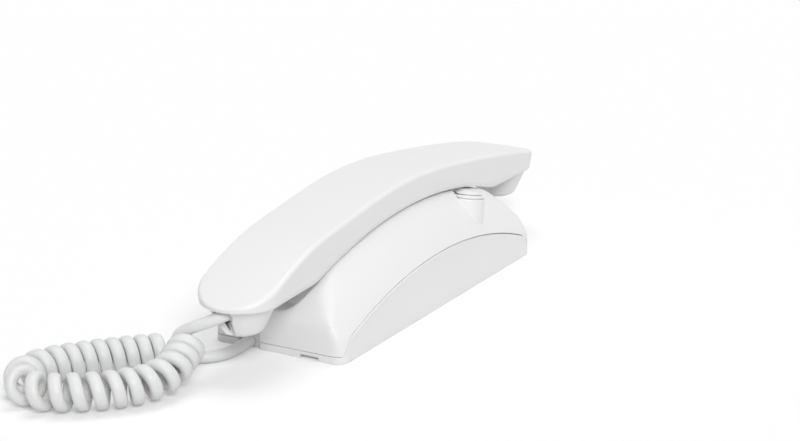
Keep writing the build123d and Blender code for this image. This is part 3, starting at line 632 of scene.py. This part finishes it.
def outline_places(side_count, end_count):
    """The outline's places: a share along a side, or an angle round an end."""
    ends = [math.pi * number / end_count for number in range(end_count + 1)]
    sides = [2 * number / side_count - 1 for number in range(1, side_count)]
    return ([("ear", angle) for angle in ends] + [("left", -share) for share in sides]
            + [("mouth", angle) for angle in ends] + [("right", share) for share in sides])


def outline_point(place, narrowed):
    """A place of the outline in plan, drawn in by this much."""
    kind, value = place
    if kind in ("right", "left"):
        width = side_share(value) * handset_half_width - narrowed
        return (width if kind == "right" else -width), value * handset_end_y
    end, reach = (1, handset_ear_reach) if kind == "ear" else (-1, handset_mouth_reach)
    width = side_share(float(end)) * handset_half_width - narrowed
    return end * width * math.cos(value), end * (handset_end_y + (reach - narrowed) * math.sin(value))


def settle(place, inset, level, rounds=4):
    """The point of the leaning wall, drawn in by inset, where its height is level(y)."""
    narrowed = inset
    for _ in range(rounds):
        x, y = outline_point(place, narrowed)
        z = float(level(np.float64(y)))
        narrowed = inset + (handset_top_height - z) * handset_lean
    return Vector((x, y, z))


def ridge_y(point):
    """Where the ridge along the middle is nearest to a point."""
    return min(max(point.y, -handset_end_y), handset_end_y)


def drawn_in(point, share):
    """A point of the top, at this share of the way out from the ridge to the rim's point."""
    middle = ridge_y(point)
    x, y = point.x * share, middle + (point.y - middle) * share
    z = float(handset_top(np.float64(y))) - handset_crown * share**2
    return Vector((x, y, z))


def cover_rings():
    """The cover's rings: up its inside, round its lower edge, up its side, over the rim and inwards."""
    places = outline_places(cover_side_stations, cover_end_stations)

    def ring(inset, level):
        return [settle(place, inset, level) for place in places]

    rings = [ring(cover_wall, lambda y, s=share: inner_height(y, s)) for share in cover_inner_shares]
    rings.append(ring(cover_wall, handset_under))
    rings.append(ring(cover_lip_rounding, handset_under))
    rings.append(ring(0, lambda y: handset_under(y) + cover_foot_rise))
    for share in cover_side_shares:
        rings.append(ring(0, lambda y, s=share: side_height(y, s)))
    for step in range(1, cover_rim_steps + 1):
        angle = math.pi / 2 * step / cover_rim_steps
        rim = []
        for place in places:
            rounding = float(rim_rounding(np.float64(outline_point(place, 0)[1])))
            rim.append(settle(place, rounding * (1 - math.cos(angle)), lambda y, a=angle: rim_height(y, a)))
        rings.append(rim)
    edge = rings[-1]
    rings += [[drawn_in(point, share) for point in edge] for share in cover_top_shares]
    return rings


def handset_cover():
    """The cover, closed along a ridge on its top and another on its inside."""
    rings = cover_rings()
    around = len(rings[0])
    points = [point for ring in rings for point in ring]
    faces = ring_faces(len(rings), around)
    for ring_start, on_top in ((0, False), ((len(rings) - 1) * around, True)):
        ridge = {}
        for number in range(ring_start, ring_start + around):
            y = round(ridge_y(points[number]), 6)
            if y not in ridge:
                ridge[y] = len(points)
                z = float(handset_top(np.float64(y))) if on_top else points[number].z
                points.append(Vector((0, y, z)))
        for step in range(around):
            a, b = ring_start + step, ring_start + (step + 1) % around
            ridge_a, ridge_b = [ridge[round(ridge_y(points[number]), 6)] for number in (a, b)]
            corner = (a, b, ridge_b, ridge_a) if ridge_a != ridge_b else (a, b, ridge_b)
            faces.append(corner if on_top else tuple(reversed(corner)))
    cover = mesh_piece("handset_cover", points, faces)
    merge_doubles(cover)
    return cover


# Upper casing: rays from a spine on the floor meet one smooth surface, worked out from distances

def shoulder_circle():
    """Centre and radius of the bulging shoulder in the cross-section."""
    middle, chord = (crease + hump) / 2, (hump - crease)
    radius = chord.length**2 / (8 * shoulder_bulge) + shoulder_bulge / 2
    inward = Vector((-chord.y, chord.x)).normalized()
    return middle + inward * (radius - shoulder_bulge), radius


def plane_distance(u, v, a, b):
    """Distance outside the line from a to b, the outside on its right."""
    along = (b - a).normalized()
    return (u - a.x) * along.y - (v - a.y) * along.x


def plan_distance(across, along):
    """Distance outside the casing's plan, a rectangle with rounded corners."""
    past_side = across - (base_half_width - base_corner_radius)
    past_end = along - (base_half_length - base_corner_radius)
    corner = np.sqrt(np.maximum(past_side, 0)**2 + np.maximum(past_end, 0)**2)
    return corner + np.minimum(np.maximum(past_side, past_end), 0) - base_corner_radius


def hollow_distance(across, along, z):
    """Distance above the hollow in the hump's end: a valley that a steep wall closes."""
    valley = hollow_floor + across**2 / hollow_breadth
    end_wall = valley + hollow_end_lean * np.maximum(hollow_end_y - along, 0)
    steepness = np.where(along < hollow_end_y, 1 / hollow_end_lean, 1)
    return (z - end_wall) / np.sqrt(1 + (2 * across / hollow_breadth)**2) * steepness


def casing_distance(x, y, z):
    """Distance outside the upper casing, less where its edges are rounded."""
    across = np.abs(x)
    along = np.abs(y)
    level = np.sqrt(y**2 + (z - arc_axis_height)**2) + arc_axis_height
    centre, radius = shoulder_circle()
    shoulder = np.sqrt((across - centre.x)**2 + (level - centre.y)**2) - radius
    side = plane_distance(across, level, Vector((base_half_width, seam_height)), crease)
    softness = np.clip((crease_sharp_y - along) / (crease_sharp_y - crease_soft_y), 0, 1)
    softness = softness**2 * (3 - 2 * softness)
    crease_reach = crease_rounding_sharp + softness * (crease_rounding_soft - crease_rounding_sharp)
    slope_top = math.sqrt((hump.y - arc_axis_height)**2 - end_slope_y**2) + arc_axis_height
    slope_foot = Vector((base_half_length, end_face_height))
    slope = plane_distance(along, z, slope_foot, Vector((end_slope_y, slope_top)))
    height_share = np.clip((z - end_face_height) / (slope_top - end_face_height), 0, 1)
    slope_reach = end_slope_rounding_low + height_share * (end_slope_rounding_high - end_slope_rounding_low)
    body = smooth_max(level - hump.y, shoulder, hump_rounding)
    body = smooth_max(body, slope, slope_reach)
    body = smooth_max(body, side, crease_reach)
    body = smooth_max(body, along - base_half_length, end_face_rounding)
    body = smooth_max(body, plan_distance(across, along), side_rounding)
    return smooth_max(body, hollow_distance(across, along, z), hollow_rounding)


def seam_level(y):
    """Height of the upper casing's lower edge."""
    arc_y = np.minimum(np.abs(y), seam_arc_reach_y)
    arc = np.sqrt((seam_height + seam_gap - arc_axis_height)**2 - arc_y**2) + arc_axis_height
    lip = seam_lip_height + seam_lip_gap
    slant = np.clip((np.abs(y) - seam_arc_end_y) / (seam_lip_y - seam_arc_end_y), 0, 1)
    return arc + (lip - arc) * slant + seam_corner_gap * 4 * slant * (1 - slant)


def ray_hits(origin, way, inset, rounds=26):
    """Where each ray meets the casing's surface, drawn in by inset."""
    low, high = np.zeros(len(origin)), np.full(len(origin), casing_ray_length)
    for _ in range(rounds):
        middle = (low + high) / 2
        point = origin + way * middle[:, None]
        inside = casing_distance(point[:, 0], point[:, 1], point[:, 2]) < -inset
        low, high = np.where(inside, middle, low), np.where(inside, high, middle)
    return origin + way * low[:, None]


def casing_stations(side_count, end_count, spine_end):
    """Plan origins and directions round the casing: round each end, then along the side after it."""
    origins, plans = [], []
    for end, start_angle in ((1, 0), (-1, math.pi)):
        for number in range(end_count + 1):
            angle = start_angle + math.pi * number / end_count
            origins.append((0, end * spine_end, 0))
            plans.append((math.cos(angle), math.sin(angle)))
        for number in range(1, side_count):
            origins.append((0, end * (spine_end - 2 * spine_end * number / side_count), 0))
            plans.append((-end, 0))
    return np.array(origins, float), np.array(plans, float)


def casing_ring(origins, plans, tilt, inset):
    """One ring of the casing's surface, its rays tilted upwards by these angles."""
    way = np.column_stack([plans * np.cos(tilt)[:, None], np.sin(tilt)])
    return ray_hits(origins, way, inset)


def seam_tilts(origins, plans, inset, rounds=24):
    """The tilt at which each station's ray meets the surface on the seam."""
    low, high = np.zeros(len(origins)), np.full(len(origins), math.pi / 2)
    for _ in range(rounds):
        tilt = (low + high) / 2
        ring = casing_ring(origins, plans, tilt, inset)
        below = ring[:, 2] < seam_level(ring[:, 1])
        low, high = np.where(below, tilt, low), np.where(below, high, tilt)
    return high


def upper_casing():
    """The casing's shell: down its inside to the seam, and up its outside, with its openings cut."""
    origins, plans = casing_stations(casing_side_stations, casing_end_stations, casing_spine_y)
    around = len(origins)
    inner_shares = np.linspace(1, 0, casing_inner_rings)[1:]
    outer_shares = np.linspace(0, 1, casing_outer_rings)[:-1]
    rings = []
    for inset, shares in ((casing_wall, inner_shares), (0.0, outer_shares)):
        seam = seam_tilts(origins, plans, inset)
        for share in shares:
            rings.append(casing_ring(origins, plans, seam + share * (math.pi / 2 - seam), inset))
    points = list(map(tuple, np.concatenate(rings)))
    faces = ring_faces(len(rings), around)
    for ring_start, inset in ((0, casing_wall), ((len(rings) - 1) * around, 0.0)):
        upright = casing_ring(origins, plans, np.full(around, math.pi / 2), inset)
        top_start = len(points)
        points += list(map(tuple, upright))
        for step in range(around):
            a, b = step, (step + 1) % around
            corner = (ring_start + a, ring_start + b, top_start + b, top_start + a)
            faces.append(corner if inset == 0 else tuple(reversed(corner)))
    casing = mesh_piece("upper_casing", points, faces)
    merge_doubles(casing)
    cut(casing, [button_cutter(), plunger_cutter(), grommet_cutter()])
    return casing


def button_frame():
    """The button's place: its axis stands square on the hump's arc, and heights start at its seat."""
    lean = math.asin(button_y / button_seat_radius)
    up = Vector((0, math.sin(lean), math.cos(lean)))
    side = Vector((1, 0, 0))
    turn = Matrix((side, up.cross(side), up)).transposed().to_4x4()
    seat = Vector((button_x, 0, arc_axis_height)) + up * button_seat_radius
    return Matrix.Translation(seat) @ turn


def turned_piece(name, profile, place, around=72, closed=True):
    """A turned solid from a profile of radius and height, about the place's own Z."""
    points = []
    for radius, height in profile:
        for step in range(around):
            angle = 2 * math.pi * step / around
            points.append(place @ Vector((radius * math.cos(angle), radius * math.sin(angle), height)))
    faces = ring_faces(len(profile), around)
    if closed:
        last = (len(profile) - 1) * around
        for step in range(around):
            after = (step + 1) % around
            faces.append((last + step, last + after, after, step))
    piece = mesh_piece(name, points, faces)
    merge_doubles(piece)
    return piece


def button_cutter():
    """Room for the button's tower, from its bore up through the shoulder above its seat."""
    bore = button_bore_radius + button_cut_gap
    profile = [(0, -button_cut_depth), (bore, -button_cut_depth), (bore, 0), (button_tower_radius, 0),
               (button_tower_radius, button_cut_rise), (0, button_cut_rise)]
    return turned_piece("button_cutter", profile, button_frame(), closed=False)


def plunger_cutter():
    """The hook plunger's hole."""
    profile = [(0, 0), (plunger_hole_radius, 0), (plunger_hole_radius, plunger_cut_height),
               (0, plunger_cut_height)]
    place = Matrix.Translation((0, plunger_hole_y, 0))
    return turned_piece("plunger_cutter", profile, place, around=40, closed=False)


def grommet_cutter():
    """The slot in the end face that the cord's grommet sits in, open downwards."""
    low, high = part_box("base_cord_grommet")
    cube = bmesh.new()
    bmesh.ops.create_cube(cube, size=1)
    for vertex in cube.verts:
        vertex.co.x = (low[0] - grommet_slack) if vertex.co.x < 0 else (high[0] + grommet_slack)
        vertex.co.y = (low[1] - grommet_cut_margin) if vertex.co.y < 0 else (high[1] + grommet_slack)
        vertex.co.z = -grommet_cut_margin if vertex.co.z < 0 else (high[2] + grommet_slack)
    mesh = bpy.data.meshes.new("grommet_cutter")
    cube.to_mesh(mesh)
    cube.free()
    piece = bpy.data.objects.new("grommet_cutter", mesh)
    scene.collection.objects.link(piece)
    return piece


def cut(piece, cutters):
    """Cut these shapes out of the piece, and then remove them."""
    for cutter in cutters:
        modifier = piece.modifiers.new(cutter.name, "BOOLEAN")
        modifier.operation = "DIFFERENCE"
        modifier.solver = "EXACT"
        modifier.object = cutter
    solid = bpy.data.meshes.new_from_object(piece.evaluated_get(bpy.context.evaluated_depsgraph_get()))
    piece.modifiers.clear()
    piece.data = solid
    for cutter in cutters:
        bpy.data.objects.remove(cutter)


casing = upper_casing()
sharpen(casing, casing_edge_degrees)
dress(casing, white_casing)
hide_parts("base_upper_casing")
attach(casing, "base")

cover = handset_cover()
sharpen(cover, cover_edge_degrees)
dress(cover, white_cover)
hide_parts("handset_outer_cover")
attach(cover, "handset")


# Door button: the tower it stands in, its bezel and its domed cap

def rounded(corner_radius, height, rounding, steps=5):
    """Profile points round a top outer corner."""
    return [(corner_radius - rounding * (1 - math.cos(angle)), height - rounding * (1 - math.sin(angle)))
            for angle in (math.pi / 2 * step / steps for step in range(steps + 1))]


def tower_profile():
    """The tower's wall, with a rounded top."""
    foot = [(button_bore_radius, -button_tower_depth), (button_tower_radius, -button_tower_depth)]
    return foot + rounded(button_tower_radius, 0, button_tower_rounding) + [(button_bore_radius, 0)]


def bezel_profile():
    """The bezel ring, with a groove round its foot."""
    neck = bezel_outer_radius - button_groove_depth
    foot = [(bezel_inner_radius, 0), (neck, 0), (neck, bezel_groove), (bezel_outer_radius, bezel_groove)]
    inner = [(bezel_inner_radius + bezel_chamfer, bezel_rise),
             (bezel_inner_radius, bezel_rise - bezel_chamfer)]
    return foot + rounded(bezel_outer_radius, bezel_rise, bezel_rounding) + inner


def cap_profile():
    """The cap, with a waist between its foot in the bezel and its domed head."""
    waist = cap_radius - button_groove_depth
    foot = [(0, -cap_foot_drop), (cap_radius, -cap_foot_drop), (cap_radius, bezel_rise - 2 * cap_edge),
            (waist, bezel_rise - cap_edge), (waist, cap_rim_rise)]
    rim = [(cap_radius, cap_rim_rise), (cap_radius, cap_rim_rise + cap_edge),
           (cap_radius - 2 * cap_edge, cap_rim_rise + 2 * cap_edge)]
    dome_radius = (cap_radius**2 + cap_dome_rise**2) / (2 * cap_dome_rise)
    dome = []
    for step in range(cap_dome_steps, -1, -1):
        radius = (cap_radius - cap_dome_margin) * step / cap_dome_steps
        height = cap_rim_rise + cap_dome_rise - dome_radius + math.sqrt(dome_radius**2 - radius**2)
        dome.append((radius, height))
    return foot + rim + dome


def add_button():
    """The button's three pieces in their places."""
    place = button_frame()
    tower = turned_piece("button_tower", tower_profile(), place)
    ring = turned_piece("bezel_ring", bezel_profile(), place)
    cap = turned_piece("button_cap", cap_profile(), place, closed=False)
    for piece, body, node in ((tower, "base", None), (ring, "base", "button_bezel"),
                              (cap, "button", "door_button")):
        sharpen(piece, button_edge_degrees)
        dress(piece, white_plastic if piece is cap else white_casing)
        if node:
            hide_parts(node)
        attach(piece, body)


add_button()


# Floor, light and the pale background

def seen_rays(nodes, links):
    """One for the rays that show the background: the camera's, mirrored and see-through ones."""
    rays = nodes.new("ShaderNodeLightPath")
    total = rays.outputs["Is Camera Ray"]
    for kind in ("Is Glossy Ray", "Is Transmission Ray"):
        either = nodes.new("ShaderNodeMath")
        either.operation = "MAXIMUM"
        links.new(total, either.inputs[0])
        links.new(rays.outputs[kind], either.inputs[1])
        total = either.outputs[0]
    return total


def add_floor():
    """A pale floor that keeps the shadow, and is as white as the background where it is seen."""
    corners = [(x * floor_reach, y * floor_reach, 0) for x, y in ((-1, -1), (1, -1), (1, 1), (-1, 1))]
    floor = mesh_piece("floor", corners, [(0, 1, 2, 3)], smooth=False)
    material = bpy.data.materials.new("floor")
    material.use_nodes = True
    nodes, links = material.node_tree.nodes, material.node_tree.links
    nodes.clear()
    output = nodes.new("ShaderNodeOutputMaterial")
    matte = nodes.new("ShaderNodeBsdfDiffuse")
    matte.inputs["Color"].default_value = floor_grey
    glow = nodes.new("ShaderNodeEmission")
    glow.inputs["Color"].default_value = white
    level = nodes.new("ShaderNodeMath")
    level.operation = "MULTIPLY"
    level.inputs[1].default_value = floor_glow
    links.new(seen_rays(nodes, links), level.inputs[0])
    links.new(level.outputs[0], glow.inputs["Strength"])
    both = nodes.new("ShaderNodeAddShader")
    links.new(matte.outputs[0], both.inputs[0])
    links.new(glow.outputs[0], both.inputs[1])
    links.new(both.outputs[0], output.inputs["Surface"])
    dress(floor, material)


def add_sun(name, way, strength, spread):
    """A lamp that shines from this direction with a soft edge."""
    lamp = bpy.data.lights.new(name, "SUN")
    lamp.energy = strength
    lamp.angle = math.radians(spread)
    holder = bpy.data.objects.new(name, lamp)
    holder.rotation_euler = Vector(way).to_track_quat("Z", "Y").to_euler()
    scene.collection.objects.link(holder)


def add_world():
    """An even pale sky, which is plain white where it is seen."""
    world = bpy.data.worlds.new("world")
    scene.world = world
    world.use_nodes = True
    nodes, links = world.node_tree.nodes, world.node_tree.links
    nodes.clear()
    output = nodes.new("ShaderNodeOutputWorld")
    mix = nodes.new("ShaderNodeMixShader")
    links.new(seen_rays(nodes, links), mix.inputs["Fac"])
    for socket, strength in ((1, sky_strength), (2, 1.0)):
        sky = nodes.new("ShaderNodeBackground")
        sky.inputs["Color"].default_value = white
        sky.inputs["Strength"].default_value = strength
        links.new(sky.outputs[0], mix.inputs[socket])
    links.new(mix.outputs[0], output.inputs["Surface"])


add_floor()
add_world()
add_sun("key", way=(0.55, -0.58, 0.60), strength=1.55, spread=20)
add_sun("top", way=(-0.05, 0.25, 0.97), strength=0.80, spread=35)
scene.view_settings.view_transform = "Standard"
